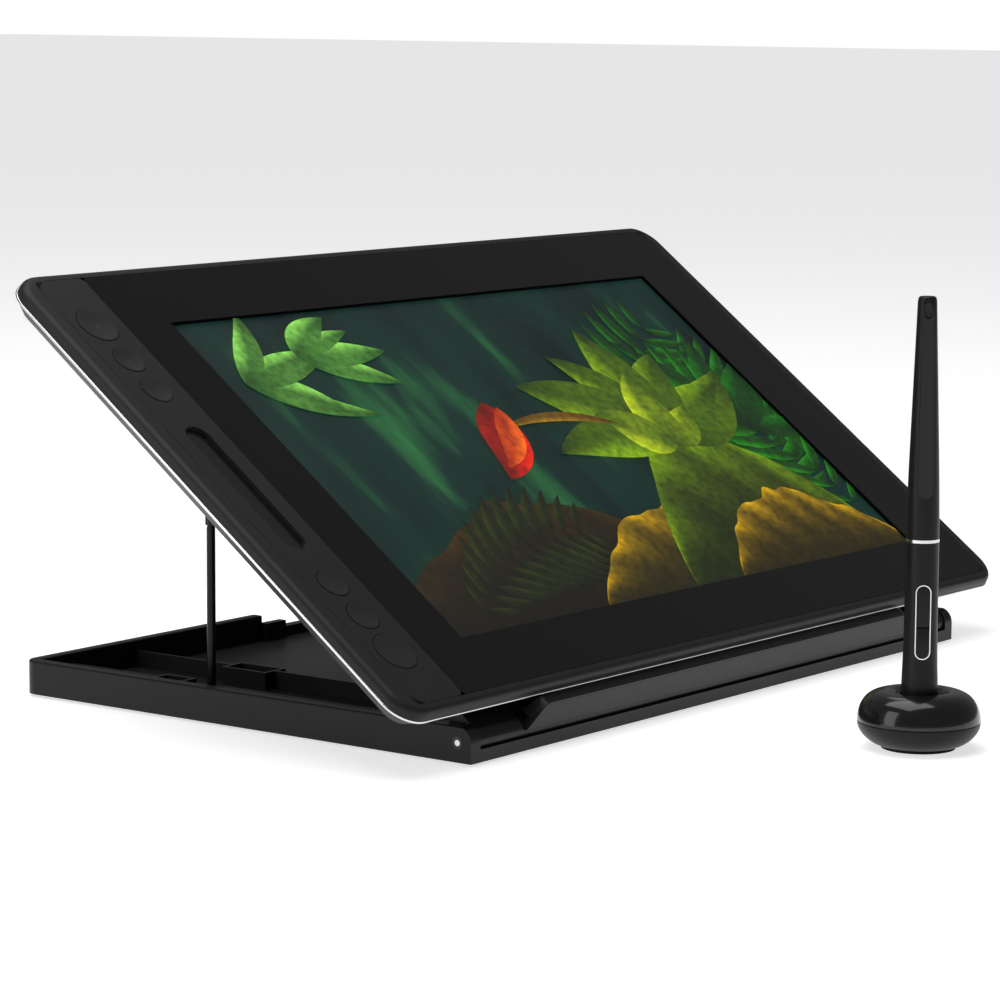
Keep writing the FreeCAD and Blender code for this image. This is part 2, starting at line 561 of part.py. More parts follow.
def prop():
    """Two hanging legs joined by a cross rod, and the pins that carry them under the plate."""
    foot = "leg_foot_up"
    back = from_front("leg_back")
    for side, sign in (("left", "-"), ("right", "")):
        x = f"{sign}leg_across"
        tip = doc.addObject("Part::Sphere", f"leg_tip_{side}")
        tip.setExpression("Radius", bound("leg_radius"))
        place(tip, x, back, f"{foot} + leg_radius")
        shaft = rod(f"leg_shaft_{side}", (x, back, f"{foot} + leg_radius"), "leg_radius", "leg_pivot_up*0.62 - 3")
        taper = cone(f"leg_taper_{side}", (x, back, "leg_pivot_up*0.62"), "leg_radius", "leg_radius*0.72", 12)
        bar = box(f"leg_bar_{side}", (f"{x} - 1.1", f"{x} + 1.1"), (f"{back} - 2.1", f"{back} + 2.1"),
                  ("leg_pivot_up*0.62 + 5", "leg_pivot_up"))
        eye = rod(f"leg_eye_{side}", (f"{x} - 1.7", back, "leg_pivot_up"), 3, 3.4, "X")
        hole = rod(f"leg_hole_{side}", (f"{x} - 3", back, "leg_pivot_up"), f"1.25 + {PIN_FIT}", 6, "X")
        whole = cut(f"leg_whole_{side}", fuse(f"leg_solid_{side}", [tip, shaft, taper, bar, eye]), [hole])
        node(whole, f"prop_leg_{side}")
        node(rod(f"leg_pin_{side}", (f"{x} - 4.6", back, "leg_pivot_up"), 1.25, 9.2, "X"), f"leg_pivot_{side}")
    cross = rod("prop_cross_rod", ("-leg_across + 1.1", back, "leg_pivot_up - 16"), 1.6, "2*leg_across - 2.2", "X")
    node(cross, "prop_cross_rod")


def turned(outline):
    """The solid that (radius, height) points make when spun about the Z axis."""
    points = [FreeCAD.Vector(radius, 0, height) for radius, height in outline]
    return Part.Face(Part.makePolygon(points + points[:1])).revolve(FreeCAD.Vector(), FreeCAD.Vector(0, 0, 1), 360)


def stand_at_holder(label, shape, height=0, turn=0):
    """A piece of the pen or its holder, moved from the Z axis to where the holder stands."""
    made = doc.addObject("Part::Feature", f"{label}_whole")
    made.Shape = shape
    middle = FreeCAD.Vector(value("holder_across"), value("holder_fore"), height)
    made.Placement = FreeCAD.Placement(middle, FreeCAD.Rotation(FreeCAD.Vector(0, 0, 1), turn))
    return node(made, label)


def holder():
    wide = value("holder_radius")
    high = value("holder_high")
    seam = value("holder_seam")
    bore = value("bore_radius")

    def dome(share):
        """Radius of the upper shell at a share of its height over the seam."""
        return wide * (1 - 0.58 * share ** 3.2) ** 0.5
    steps = 9
    outer = [(dome(i / steps), seam + 0.3 + (high - 1.2 - seam) * i / steps) for i in range(steps + 1)]
    upper = [(wide - 2.2, seam + 0.3)] + outer + [(bore + 4, high - 0.1), (bore + 1.4, high - 1.6),
                                                (bore + 1.4, high - 5), (wide - 6, high - 5), (wide - 2.4, seam + 4)]
    stand_at_holder("holder_top_shell", turned(upper))
    bowl = [(wide * (0.62 + 0.38 * math.sin(math.pi / 2 * i / 7) ** 0.8), 1 + (seam - 1) * i / 7) for i in range(8)]
    lower = [(0, 1)] + bowl + [(wide - 2, seam), (wide - 3.5, seam - 5), (wide * 0.5, 2.6), (0, 2.6)]
    stand_at_holder("holder_base_shell", turned(lower))
    stand_at_holder("holder_foot", turned([(8, 0), (wide * 0.6, 0), (wide * 0.6, 1), (8, 1)]))
    stand_at_holder("holder_liner", turned([(bore, 5), (bore + 1.1, 5), (bore + 1.1, high - 1.6),
                                            (bore, high - 1.6)]))
    stand_at_holder("nib_puller", turned([(0, 2.6), (5, 2.6), (5, 4.2), (0, 4.2)]))
    stand_at_holder("holder_weight", turned([(bore + 1.1, 4.6), (wide - 8, 4.6), (wide - 6, 7),
                                             (bore + 1.1, 7)]))
    nibs = []
    for i in range(8):
        angle = 2 * math.pi * i / 8
        place_x = f"holder_across + {13 * math.cos(angle):.4f}"
        place_y = f"holder_fore + {13 * math.sin(angle):.4f}"
        nibs.append(rod(f"spare_nib_{i}", (place_x, place_y, 7), 0.9, 7))
    node(group("spare_nibs_group", nibs), "spare_nibs")


def pen():
    """Stands nib down in the holder; drawn about its own axis with the nib tip at Z = 0."""
    height = value("nib_up")
    turn = value("pen_face_turn")
    long = value("pen_long")
    ring = value("pen_ring_up")
    ring_high = 1.2
    grip_radius, ring_radius = 6.5, 6.45

    def stand(label, shape):
        return stand_at_holder(label, shape, height, turn)

    def block(x, y, z):
        return Part.makeBox(x[1] - x[0], y[1] - y[0], z[1] - z[0], FreeCAD.Vector(x[0], y[0], z[0]))
    hole, core = 1.2, 3.2
    grip = turned([(hole, 2), (2, 2), (4.6, 8), (6.5, 14), (7.15, 18), (7.1, 23), (6.7, 32),
                   (grip_radius, 50), (grip_radius, ring), (core, ring), (core, 9), (hole, 7)])
    slot_low, slot_high, split = 31, 60.5, 43.7
    grip = grip.cut(block((-3.1, 3.1), (-8, -4.2), (slot_low, slot_high)))
    stand("pen_grip", grip)
    trim = block((-3.05, 3.05), (-6.35, -5.3), (slot_low + 0.05, slot_high - 0.05))
    stand("pen_switch_trim", trim.cut(block((-2.6, 2.6), (-9, -4), (slot_low + 0.5, slot_high - 0.5))))
    for label, low, high in (("pen_button_lower", slot_low + 0.8, split - 0.15),
                             ("pen_button_upper", split + 0.15, slot_high - 0.8)):
        cap = block((-2.3, 2.3), (-6.9, -4.8), (low, high))
        corners = [edge for edge in cap.Edges if edge.BoundBox.YLength > 1]
        stand(label, cap.makeFillet(0.9, corners))
    stand("pen_ring", turned([(core, ring), (ring_radius + 0.1, ring), (ring_radius + 0.1, ring + ring_high),
                              (core, ring + ring_high)]))
    rear = turned([(2, ring + ring_high), (ring_radius, ring + ring_high), (6, 102.5), (4.75, 138.5),
                   (3.7, long - 1), (3, long), (0, long), (0, long - 6), (2, long - 8)])
    low, high = FreeCAD.Vector(0, -5.6, 95), FreeCAD.Vector(0, -3.15, long - 4)
    across = FreeCAD.Vector(1, 0, 0)
    corners = [low - across * 3.2, low + across * 3.2, high + across * 2.1, high - across * 2.1]
    outward = across.cross(high - low).normalize()
    face = Part.Face(Part.makePolygon(corners + corners[:1]))
    stand("pen_rear_barrel", rear.cut(face.extrude(outward * 4)))
    stand("pen_clip_inlay", face.extrude(outward * 0.6))
    stand("pen_nib", turned([(0, 0), (0.35, 0.1), (0.8, 1.4), (0.8, 26), (0, 26)]))
    stand("pen_coil", turned([(1.2, 10), (3.1, 10), (3.1, 24), (1.2, 24)]))
    stand("pen_pressure_sensor", turned([(0, 26.7), (3.1, 26.7), (3.1, 30), (0, 30)]))
    stand("pen_board", block((-3, 3), (-0.5, 0.3), (30, 74)))


def case_screws():
    pieces = screws("case_screw", screw_places(), SCREW_RADIUS, COVER_BACK, "-glass_thick - 0.2", HEAD_RADIUS,
                    HEAD_HIGH)
    node(group("case_screws_group", pieces), "case_screws", tilted=True)


def write_steps():
    doc.recompute()
    for item in doc.Objects:
        assert not {"Invalid", "Error"} & set(item.State), f"{item.Name} {item.State}"
    os.makedirs("parts", exist_ok=True)
    for label, piece in NODES.items():
        shape = piece.Shape
        assert not shape.isNull() and shape.isValid(), label
        assert shape.Solids, label
        shape.exportStep(f"parts/{label}.step")
    print(len(NODES), "sub-parts")


front_frame()
rim_trim()
rear_cover()
for socket_name, socket_middle, _ in SOCKETS[:2]:
    socket(socket_name, socket_middle)
power_button()
display_stack()
key_panel()
keys()
case_screws()
base_tray()
hinge_pins()
support_plate()
prop()
holder()
pen()
write_steps()
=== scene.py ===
import json
import math
import random
import bpy
import bmesh
from mathutils import Matrix, Vector


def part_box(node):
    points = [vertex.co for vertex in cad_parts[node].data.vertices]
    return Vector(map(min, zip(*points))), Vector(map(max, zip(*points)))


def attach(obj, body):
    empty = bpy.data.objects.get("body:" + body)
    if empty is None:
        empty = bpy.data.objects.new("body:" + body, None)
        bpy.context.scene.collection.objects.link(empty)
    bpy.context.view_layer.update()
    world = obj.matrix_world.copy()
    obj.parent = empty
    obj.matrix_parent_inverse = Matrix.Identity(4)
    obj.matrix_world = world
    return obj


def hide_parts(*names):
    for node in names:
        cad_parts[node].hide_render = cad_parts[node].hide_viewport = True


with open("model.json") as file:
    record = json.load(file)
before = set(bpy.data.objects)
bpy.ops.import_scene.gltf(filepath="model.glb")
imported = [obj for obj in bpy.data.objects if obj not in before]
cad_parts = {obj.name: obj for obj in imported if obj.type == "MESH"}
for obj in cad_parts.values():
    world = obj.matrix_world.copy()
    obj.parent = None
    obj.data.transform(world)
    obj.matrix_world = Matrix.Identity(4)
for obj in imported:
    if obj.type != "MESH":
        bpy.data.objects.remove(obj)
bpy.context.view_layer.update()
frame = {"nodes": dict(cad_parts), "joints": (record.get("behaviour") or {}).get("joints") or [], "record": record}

nodes = frame["nodes"]
slope = {"angle": 37, "fore": -0.1202, "up": 0.0259}
slopeMatrix = (Matrix.Translation((0, slope["fore"], slope["up"]))
               @ Matrix.Rotation(math.radians(slope["angle"]), 4, "X"))
tablet = {"wide": 0.438, "deep": 0.254, "frameThick": 0.005, "cornerRound": 0.013,
          "bulge": 0.0088, "rightEdge": 0.0078, "edge": 0.0043}
picture = {"left": -0.1558, "right": 0.1782, "low": 0.031, "high": 0.219}
mergeWithin = 0.000005  # points closer than this become one
print("frame loaded")


# small helpers

def deselectAll():
    if bpy.context.object and bpy.context.object.mode != "OBJECT":
        bpy.ops.object.mode_set(mode="OBJECT")
    bpy.ops.object.select_all(action="DESELECT")


def named(piece, name):
    piece.name = name
    piece.data.name = name
    return piece


def editing(piece):
    bpy.context.view_layer.objects.active = piece
    bpy.ops.object.mode_set(mode="EDIT")
    bpy.ops.mesh.select_all(action="DESELECT")
    return bmesh.from_edit_mesh(piece.data)


def selectEdges(piece, chooser):
    mesh = editing(piece)
    bpy.ops.mesh.select_mode(type="EDGE")
    for edge in mesh.edges:
        edge.select = chooser(edge)
    mesh.select_flush_mode()
    bmesh.update_edit_mesh(piece.data)


def selectFaces(piece, chooser):
    mesh = editing(piece)
    bpy.ops.mesh.select_mode(type="FACE")
    for face in mesh.faces:
        face.select = chooser(face)
    mesh.select_flush_mode()
    bmesh.update_edit_mesh(piece.data)


def bakePlace(piece, matrix=None):
    if bpy.context.object and bpy.context.object.mode != "OBJECT":
        bpy.ops.object.mode_set(mode="OBJECT")
    if matrix:
        piece.matrix_world = matrix @ piece.matrix_world
    bpy.ops.object.select_all(action="DESELECT")
    piece.select_set(True)
    bpy.context.view_layer.objects.active = piece
    bpy.ops.object.transform_apply(location=True, rotation=True, scale=True)


def smooth(piece, degrees=35):
    deselectAll()
    piece.select_set(True)
    bpy.context.view_layer.objects.active = piece
    bpy.ops.object.shade_smooth_by_angle(angle=math.radians(degrees))


def applyModifiers(piece):
    bpy.context.view_layer.objects.active = piece
    for modifier in list(piece.modifiers):
        bpy.ops.object.modifier_apply(modifier=modifier.name)


def turnedPiece(name, profile, steps):
    # a line of (radius, height) points spun about the upright axis
    deselectAll()
    bpy.ops.mesh.primitive_plane_add(size=0.001, location=(0, 0, 0))
    piece = bpy.context.object
    mesh = editing(piece)
    bmesh.ops.delete(mesh, geom=list(mesh.verts), context="VERTS")
    line = [mesh.verts.new((radius, 0, height)) for radius, height in profile]
    for first, second in zip(line, line[1:]):
        mesh.edges.new((first, second))
    for item in list(mesh.verts) + list(mesh.edges):
        item.select = True
    bmesh.update_edit_mesh(piece.data)
    bpy.ops.mesh.spin(steps=steps, angle=math.tau, center=(0, 0, 0), axis=(0, 0, 1))
    bpy.ops.mesh.select_all(action="SELECT")
    bpy.ops.mesh.remove_doubles(threshold=mergeWithin)
    bpy.ops.mesh.normals_make_consistent(inside=False)
    bpy.ops.object.mode_set(mode="OBJECT")
    return named(piece, name)


# materials

def newMaterial(name):
    material = bpy.data.materials.new(name)
    material.use_nodes = True
    tree = material.node_tree
    return material, tree, tree.nodes["Principled BSDF"]


plasticFacts = {"spread": 0.06, "cloud": 22, "lift": 1.35, "bumpDeep": 0.0002, "shine": 0.22,
                "coatRough": 0.05}


def mouldedPlastic(name, colour, roughness, grain=900, bump=0.05, coat=0.0):
    material, tree, shader = newMaterial(name)
    place = tree.nodes.new("ShaderNodeTexCoord")
    noise = tree.nodes.new("ShaderNodeTexNoise")
    noise.inputs["Scale"].default_value = grain
    noise.inputs["Detail"].default_value = 3
    tree.links.new(place.outputs["Object"], noise.inputs["Vector"])
    height = tree.nodes.new("ShaderNodeBump")
    height.inputs["Strength"].default_value = bump
    height.inputs["Distance"].default_value = plasticFacts["bumpDeep"]
    tree.links.new(noise.outputs["Fac"], height.inputs["Height"])
    tree.links.new(height.outputs["Normal"], shader.inputs["Normal"])
    cloud = tree.nodes.new("ShaderNodeTexNoise")
    cloud.inputs["Scale"].default_value = plasticFacts["cloud"]
    tree.links.new(place.outputs["Object"], cloud.inputs["Vector"])
    rough = tree.nodes.new("ShaderNodeMapRange")
    rough.inputs["To Min"].default_value = roughness - plasticFacts["spread"]
    rough.inputs["To Max"].default_value = roughness + plasticFacts["spread"]
    tree.links.new(cloud.outputs["Fac"], rough.inputs["Value"])
    tree.links.new(rough.outputs["Result"], shader.inputs["Roughness"])
    tint = tree.nodes.new("ShaderNodeMix")
    tint.data_type = "RGBA"
    tint.inputs["A"].default_value = (*colour, 1)
    tint.inputs["B"].default_value = (*[c * plasticFacts["lift"] for c in colour], 1)
    tree.links.new(cloud.outputs["Fac"], tint.inputs["Factor"])
    tree.links.new(tint.outputs["Result"], shader.inputs["Base Color"])
    shader.inputs["Specular IOR Level"].default_value = plasticFacts["shine"]
    shader.inputs["Coat Weight"].default_value = coat
    shader.inputs["Coat Roughness"].default_value = plasticFacts["coatRough"]
    return material


def metal(name, colour, roughness, brush=0.0):
    material, tree, shader = newMaterial(name)
    shader.inputs["Metallic"].default_value = 1
    place = tree.nodes.new("ShaderNodeTexCoord")
    noise = tree.nodes.new("ShaderNodeTexNoise")
    noise.inputs["Scale"].default_value = 300
    tree.links.new(place.outputs["Object"], noise.inputs["Vector"])
    rough = tree.nodes.new("ShaderNodeMapRange")
    rough.inputs["To Min"].default_value = roughness
    rough.inputs["To Max"].default_value = roughness + 0.08
    tree.links.new(noise.outputs["Fac"], rough.inputs["Value"])
    tree.links.new(rough.outputs["Result"], shader.inputs["Roughness"])
    tint = tree.nodes.new("ShaderNodeMix")
    tint.data_type = "RGBA"
    tint.inputs["A"].default_value = (*colour, 1)
    tint.inputs["B"].default_value = (*[c * 0.85 for c in colour], 1)
    tree.links.new(noise.outputs["Fac"], tint.inputs["Factor"])
    tree.links.new(tint.outputs["Result"], shader.inputs["Base Color"])
    if brush:
        height = tree.nodes.new("ShaderNodeBump")
        height.inputs["Strength"].default_value = brush
        tree.links.new(noise.outputs["Fac"], height.inputs["Height"])
        tree.links.new(height.outputs["Normal"], shader.inputs["Normal"])
    return material


def onSlope(tree):
    # place on the flat tablet: X across, Y up the screen
    place = tree.nodes.new("ShaderNodeTexCoord")
    level = tree.nodes.new("ShaderNodeMapping")
    level.vector_type = "TEXTURE"
    level.inputs["Location"].default_value = (0, slope["fore"], slope["up"])
    level.inputs["Rotation"].default_value = (math.radians(slope["angle"]), 0, 0)
    tree.links.new(place.outputs["Object"], level.inputs["Vector"])
    return level.outputs["Vector"]


def within(tree, value, low, high):
    # 1 between two limits
    over = tree.nodes.new("ShaderNodeMath")
    over.operation = "GREATER_THAN"
    over.inputs[1].default_value = low
    under = tree.nodes.new("ShaderNodeMath")
    under.operation = "LESS_THAN"
    under.inputs[1].default_value = high
    both = tree.nodes.new("ShaderNodeMath")
    both.operation = "MULTIPLY"
    tree.links.new(value, over.inputs[0])
    tree.links.new(value, under.inputs[0])
    tree.links.new(over.outputs[0], both.inputs[0])
    tree.links.new(under.outputs[0], both.inputs[1])
    return both.outputs[0]


def printedGlass():
    # black print round a clear window over the picture
    material, tree, shader = newMaterial("printedGlass")
    split = tree.nodes.new("ShaderNodeSeparateXYZ")
    tree.links.new(onSlope(tree), split.inputs["Vector"])
    across = within(tree, split.outputs["X"], picture["left"], picture["right"])
    upwards = within(tree, split.outputs["Y"], picture["low"], picture["high"])
    window = tree.nodes.new("ShaderNodeMath")
    window.operation = "MULTIPLY"
    tree.links.new(across, window.inputs[0])
    tree.links.new(upwards, window.inputs[1])
    cover = tree.nodes.new("ShaderNodeMapRange")
    cover.inputs["To Min"].default_value = 1
    cover.inputs["To Max"].default_value = 0.1
    tree.links.new(window.outputs[0], cover.inputs["Value"])
    tree.links.new(cover.outputs["Result"], shader.inputs["Alpha"])
    shader.inputs["Base Color"].default_value = (0.001, 0.001, 0.001, 1)
    shader.inputs["Roughness"].default_value = 0.09
    shader.inputs["Specular IOR Level"].default_value = 0.35
    return material


def litBackdrop():
    # dark green water and light shafts behind the leaves
    material, tree, shader = newMaterial("litBackdrop")
    flat = onSlope(tree)
    stretch = tree.nodes.new("ShaderNodeMapping")
    stretch.inputs["Rotation"].default_value = (0, 0, 0.35)
    stretch.inputs["Scale"].default_value = (26, 7, 1)
    tree.links.new(flat, stretch.inputs["Vector"])
    shafts = tree.nodes.new("ShaderNodeTexNoise")
    shafts.inputs["Scale"].default_value = 1
    shafts.inputs["Detail"].default_value = 4
    tree.links.new(stretch.outputs["Vector"], shafts.inputs["Vector"])
    ramp = tree.nodes.new("ShaderNodeValToRGB")
    stops = ramp.color_ramp
    stops.elements[0].position = 0.3
    stops.elements[0].color = (0.0005, 0.003, 0.006, 1)
    stops.elements[1].position = 0.8
    stops.elements[1].color = (0.03, 0.2, 0.05, 1)
    middle = stops.elements.new(0.55)
    middle.color = (0.002, 0.022, 0.016, 1)
    tree.links.new(shafts.outputs["Fac"], ramp.inputs["Fac"])
    tree.links.new(ramp.outputs["Color"], shader.inputs["Emission Color"])
    shader.inputs["Emission Strength"].default_value = 1.3
    shader.inputs["Base Color"].default_value = (0, 0, 0, 1)
    shader.inputs["Roughness"].default_value = 0.6
    return material


def litPaint():
    # the leaves' own colours, lit from behind
    material, tree, shader = newMaterial("litPaint")
    paint = tree.nodes.new("ShaderNodeAttribute")
    paint.attribute_name = "paint"
    strokes = tree.nodes.new("ShaderNodeTexNoise")
    strokes.inputs["Scale"].default_value = 260
    strokes.inputs["Detail"].default_value = 5
    tree.links.new(onSlope(tree), strokes.inputs["Vector"])
    weight = tree.nodes.new("ShaderNodeMapRange")
    weight.inputs["From Min"].default_value = 0.3
    weight.inputs["From Max"].default_value = 0.7
    weight.inputs["To Min"].default_value = 0.55
    weight.inputs["To Max"].default_value = 1.25
    tree.links.new(strokes.outputs["Fac"], weight.inputs["Value"])
    worked = tree.nodes.new("ShaderNodeVectorMath")
    worked.operation = "SCALE"
    tree.links.new(paint.outputs["Color"], worked.inputs[0])
    tree.links.new(weight.outputs["Result"], worked.inputs["Scale"])
    tree.links.new(worked.outputs["Vector"], shader.inputs["Emission Color"])
    shader.inputs["Emission Strength"].default_value = 1.35
    shader.inputs["Base Color"].default_value = (0, 0, 0, 1)
    shader.inputs["Roughness"].default_value = 0.6
    return material


# the bright spot is a painted highlight at the middle of each hinge pin's end
paintedHighlightRadius = 0.0012  # radius of the bright spot


def pinWithPaintedHighlight(axis):
    # a dark pin with a painted highlight: a bright metal spot at the middle of its end
    material, tree, shader = newMaterial("pinWithPaintedHighlight")
    place = tree.nodes.new("ShaderNodeTexCoord")
    split = tree.nodes.new("ShaderNodeSeparateXYZ")
    flat = tree.nodes.new("ShaderNodeCombineXYZ")
    reach = tree.nodes.new("ShaderNodeVectorMath")
    reach.operation = "DISTANCE"
    reach.inputs[1].default_value = (0, *axis)
    # within this radius of the hinge axis the pin is painted as a bright metal highlight
    bright = tree.nodes.new("ShaderNodeMath")
    bright.operation = "LESS_THAN"
    bright.inputs[1].default_value = paintedHighlightRadius
    tint = tree.nodes.new("ShaderNodeMix")
    tint.data_type = "RGBA"
    tint.inputs["A"].default_value = (0.01, 0.01, 0.01, 1)
    tint.inputs["B"].default_value = (0.75, 0.75, 0.76, 1)
    tree.links.new(place.outputs["Object"], split.inputs["Vector"])
    tree.links.new(split.outputs["Y"], flat.inputs["Y"])
    tree.links.new(split.outputs["Z"], flat.inputs["Z"])
    tree.links.new(flat.outputs["Vector"], reach.inputs[0])
    tree.links.new(reach.outputs["Value"], bright.inputs[0])
    tree.links.new(bright.outputs[0], tint.inputs["Factor"])
    tree.links.new(bright.outputs[0], shader.inputs["Metallic"])
    tree.links.new(tint.outputs["Result"], shader.inputs["Base Color"])
    shader.inputs["Roughness"].default_value = 0.3
    return material


finishes = {
    "tray_black": mouldedPlastic("trayPlastic", (0.012, 0.012, 0.013), 0.36, grain=1400, bump=0.06),
    "plate_black": mouldedPlastic("platePlastic", (0.010, 0.010, 0.011), 0.3, grain=1400, bump=0.04),
    "frame_black": mouldedPlastic("framePlastic", (0.018, 0.018, 0.019), 0.42, grain=2200, bump=0.05),
    "cover_black": mouldedPlastic("coverPlastic", (0.014, 0.014, 0.015), 0.45, grain=1800, bump=0.08),
    "key_black": mouldedPlastic("keyPlastic", (0.021, 0.021, 0.022), 0.4, grain=2200, bump=0.04),
    "strip_black": mouldedPlastic("stripGloss", (0.006, 0.006, 0.006), 0.25, grain=300, bump=0.01, coat=0.5),
    "glass": printedGlass(),
    "picture": litBackdrop(),
    "silver": metal("polishedRim", (0.8, 0.8, 0.82), 0.12),
    "steel": metal("plainSteel", (0.5, 0.5, 0.51), 0.3, brush=0.05),
    "dark_steel": mouldedPlastic("paintedSteel", (0.01, 0.01, 0.011), 0.3, grain=600, bump=0.02),
    "rubber": mouldedPlastic("softRubber", (0.012, 0.012, 0.012), 0.75, grain=900, bump=0.2),
    "board_green": mouldedPlastic("boardLacquer", (0.01, 0.09, 0.04), 0.35, grain=200, bump=0.1),
    "copper": metal("woundCopper", (0.75, 0.35, 0.2), 0.3, brush=0.2),
    "pen_black": mouldedPlastic("penSoftTouch", (0.011, 0.011, 0.012), 0.38, grain=2600, bump=0.04),
    "nib_grey": mouldedPlastic("nibPlastic", (0.06, 0.06, 0.06), 0.5, grain=900, bump=0.02),
    "holder_gloss": mouldedPlastic("holderGloss", (0.008, 0.008, 0.009), 0.2, grain=800, bump=0.01, coat=0.6),
}
paint = litPaint()
for entry in frame["record"]["subparts"]:
    part = nodes[entry["node"]]
    part.data.materials.clear()
    part.data.materials.append(finishes[entry["material_slot"]])
hinge = [joint for joint in frame["joints"] if joint["name"] == "stand_tilt"][0]["pos_m"]
# the hinge pins carry a painted highlight at their ends
pinHighlightMaterial = pinWithPaintedHighlight((hinge[1], hinge[2]))
for name in ("hinge_pin_left", "hinge_pin_right"):
    nodes[name].data.materials.clear()
    nodes[name].data.materials.append(pinHighlightMaterial)
inlayFinish = mouldedPlastic("inlayPlastic", (0.035, 0.035, 0.036), 0.42, grain=2600, bump=0.03)
print("materials set")


def dressPiece(piece, finish, body, *replaced):
    piece.data.materials.clear()
    piece.data.materials.append(paint if finish == "paint" else finishes[finish])
    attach(piece, body)
    if replaced:
        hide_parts(*replaced)


# the tablet's outer frame and its bright rim

shell = {"edgeRound": 0.0032, "edgeSteps": 6, "cornerSteps": 10, "rimThick": 0.0011, "rimProud": 0.0004,
         "rimBand": 0.004, "near": 0.0003}


def roundedSlab(wide, deep, low, high):
    # a slab with the tablet's corners, on the flat tablet
    deselectAll()
    bpy.ops.mesh.primitive_cube_add(size=1, location=(0, tablet["deep"] / 2, (low + high) / 2))
    piece = bpy.context.object
    piece.scale = (wide, deep, high - low)
    bpy.ops.object.transform_apply(location=True, rotation=True, scale=True)
    selectEdges(piece, lambda edge: abs(edge.verts[0].co.z - edge.verts[1].co.z) > 0.0001)
    bpy.ops.mesh.bevel(offset=tablet["cornerRound"], segments=shell["cornerSteps"], affect="EDGES")
    bpy.ops.object.mode_set(mode="OBJECT")
    return piece


def openMiddle(piece, band):
    # a ring is left when both big faces are inset and joined through
    selectFaces(piece, lambda face: abs(face.normal.z) > 0.9)
    bpy.ops.mesh.inset(thickness=band, depth=0)
    bpy.ops.mesh.bridge_edge_loops()


def frameShell():
    piece = roundedSlab(tablet["wide"], tablet["deep"], -tablet["frameThick"], 0)
    selectFaces(piece, lambda face: abs(face.normal.z) > 0.9)
    bpy.ops.mesh.inset(thickness=tablet["edge"], depth=0)
    mesh = bmesh.from_edit_mesh(piece.data)
    for vertex in {v for face in mesh.faces if face.select for v in face.verts}:
        if vertex.co.x < 0:
            vertex.co.x += tablet["bulge"] - tablet["edge"]
        else:
            vertex.co.x -= tablet["rightEdge"] - tablet["edge"]
    bmesh.update_edit_mesh(piece.data)
    bpy.ops.mesh.bridge_edge_loops()
    half, deep = tablet["wide"] / 2, tablet["deep"]

    def onRim(vertex):
        fromSide = half - abs(vertex.co.x)
        fromEnd = min(vertex.co.y, deep - vertex.co.y)
        corner = tablet["cornerRound"]
        if fromSide < corner and fromEnd < corner:
            return abs(math.hypot(corner - fromSide, corner - fromEnd) - corner) < shell["near"]
        return min(fromSide, fromEnd) < shell["near"]

    def outerTop(edge):
        return all(abs(vertex.co.z) < 0.00001 and onRim(vertex) for vertex in edge.verts)

    selectEdges(piece, outerTop)
    bpy.ops.mesh.bevel(offset=shell["edgeRound"], segments=shell["edgeSteps"], affect="EDGES")
    bpy.ops.mesh.select_all(action="SELECT")
    bpy.ops.mesh.normals_make_consistent(inside=False)
    bakePlace(named(piece, "frameShell"), slopeMatrix)
    smooth(piece)
    dressPiece(piece, "frame_black", "tablet", "front_frame")


def rimBead():
    low = -tablet["frameThick"] - shell["rimThick"] * 0.75
    grow = 2 * shell["rimProud"]
    piece = roundedSlab(tablet["wide"] + grow, tablet["deep"] + grow, low, low + shell["rimThick"])
    openMiddle(piece, shell["rimBand"])
    bpy.ops.mesh.select_all(action="SELECT")
    bpy.ops.mesh.normals_make_consistent(inside=False)
    bakePlace(named(piece, "rimBead"), slopeMatrix)
    bevel = piece.modifiers.new("round", "BEVEL")
    bevel.width = shell["rimThick"] * 0.32
    bevel.segments = 3
    bevel.angle_limit = math.radians(50)
    applyModifiers(piece)
    smooth(piece, 50)
    dressPiece(piece, "silver", "tablet", "rim_trim")


frameShell()
rimBead()
print("frame and rim modelled")


# the pen holder's two smooth shells

holderFacts = {"wide": 0.0242, "seam": 0.0105, "high": 0.0229, "foot": 0.015, "mouth": 0.0092, "steps": 96}
holderLow, holderHigh = (Vector(corner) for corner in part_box("holder_top_shell"))
holderAt = (holderLow + holderHigh) / 2


def turnedShell(name, profile):
    piece = turnedPiece(name, profile, holderFacts["steps"])
    bakePlace(piece, Matrix.Translation((holderAt.x, holderAt.y, 0)))
    smooth(piece, 40)
    return piece


def holderShells():
    wide, seam, high, mouth = (holderFacts[key] for key in ("wide", "seam", "high", "mouth"))
    outer = []
    for i in range(25):
        angle = math.radians(86 * i / 24)
        outer.append((mouth + 0.001 + (wide - mouth - 0.001) * math.cos(angle) ** 0.62,
                      seam + 0.0004 + (high - seam - 0.0006) * math.sin(angle) ** 1.05))
    dimple = [(mouth + 0.0012, high - 0.0006), (mouth, high - 0.0016), (mouth, high - 0.006)]
    inside = [(wide - 0.0028, seam + 0.004), (wide - 0.0020, seam + 0.0004)]
    dome = turnedShell("holderDome", outer + dimple + inside + outer[:1])
    dressPiece(dome, "holder_gloss", "holder_cap", "holder_top_shell")
    bowl = [(0.0001, 0.001), (holderFacts["foot"] - 0.0006, 0.001)]
    for i in range(17):
        share = i / 16
        spread = (wide - holderFacts["foot"] - 0.0001) * math.sin(math.pi / 2 * share) ** 0.75
        bowl.append((holderFacts["foot"] + spread, 0.0012 + (seam - 0.0012) * share ** 1.15))
    bowl += [(wide - 0.002, seam), (wide - 0.004, seam - 0.005), (0.012, 0.0026), (0.0001, 0.0026)]
    lower = turnedShell("holderBowl", bowl)
    dressPiece(lower, "pen_black", "holder", "holder_base_shell")


holderShells()
print("holder modelled")


# the stand's front lip

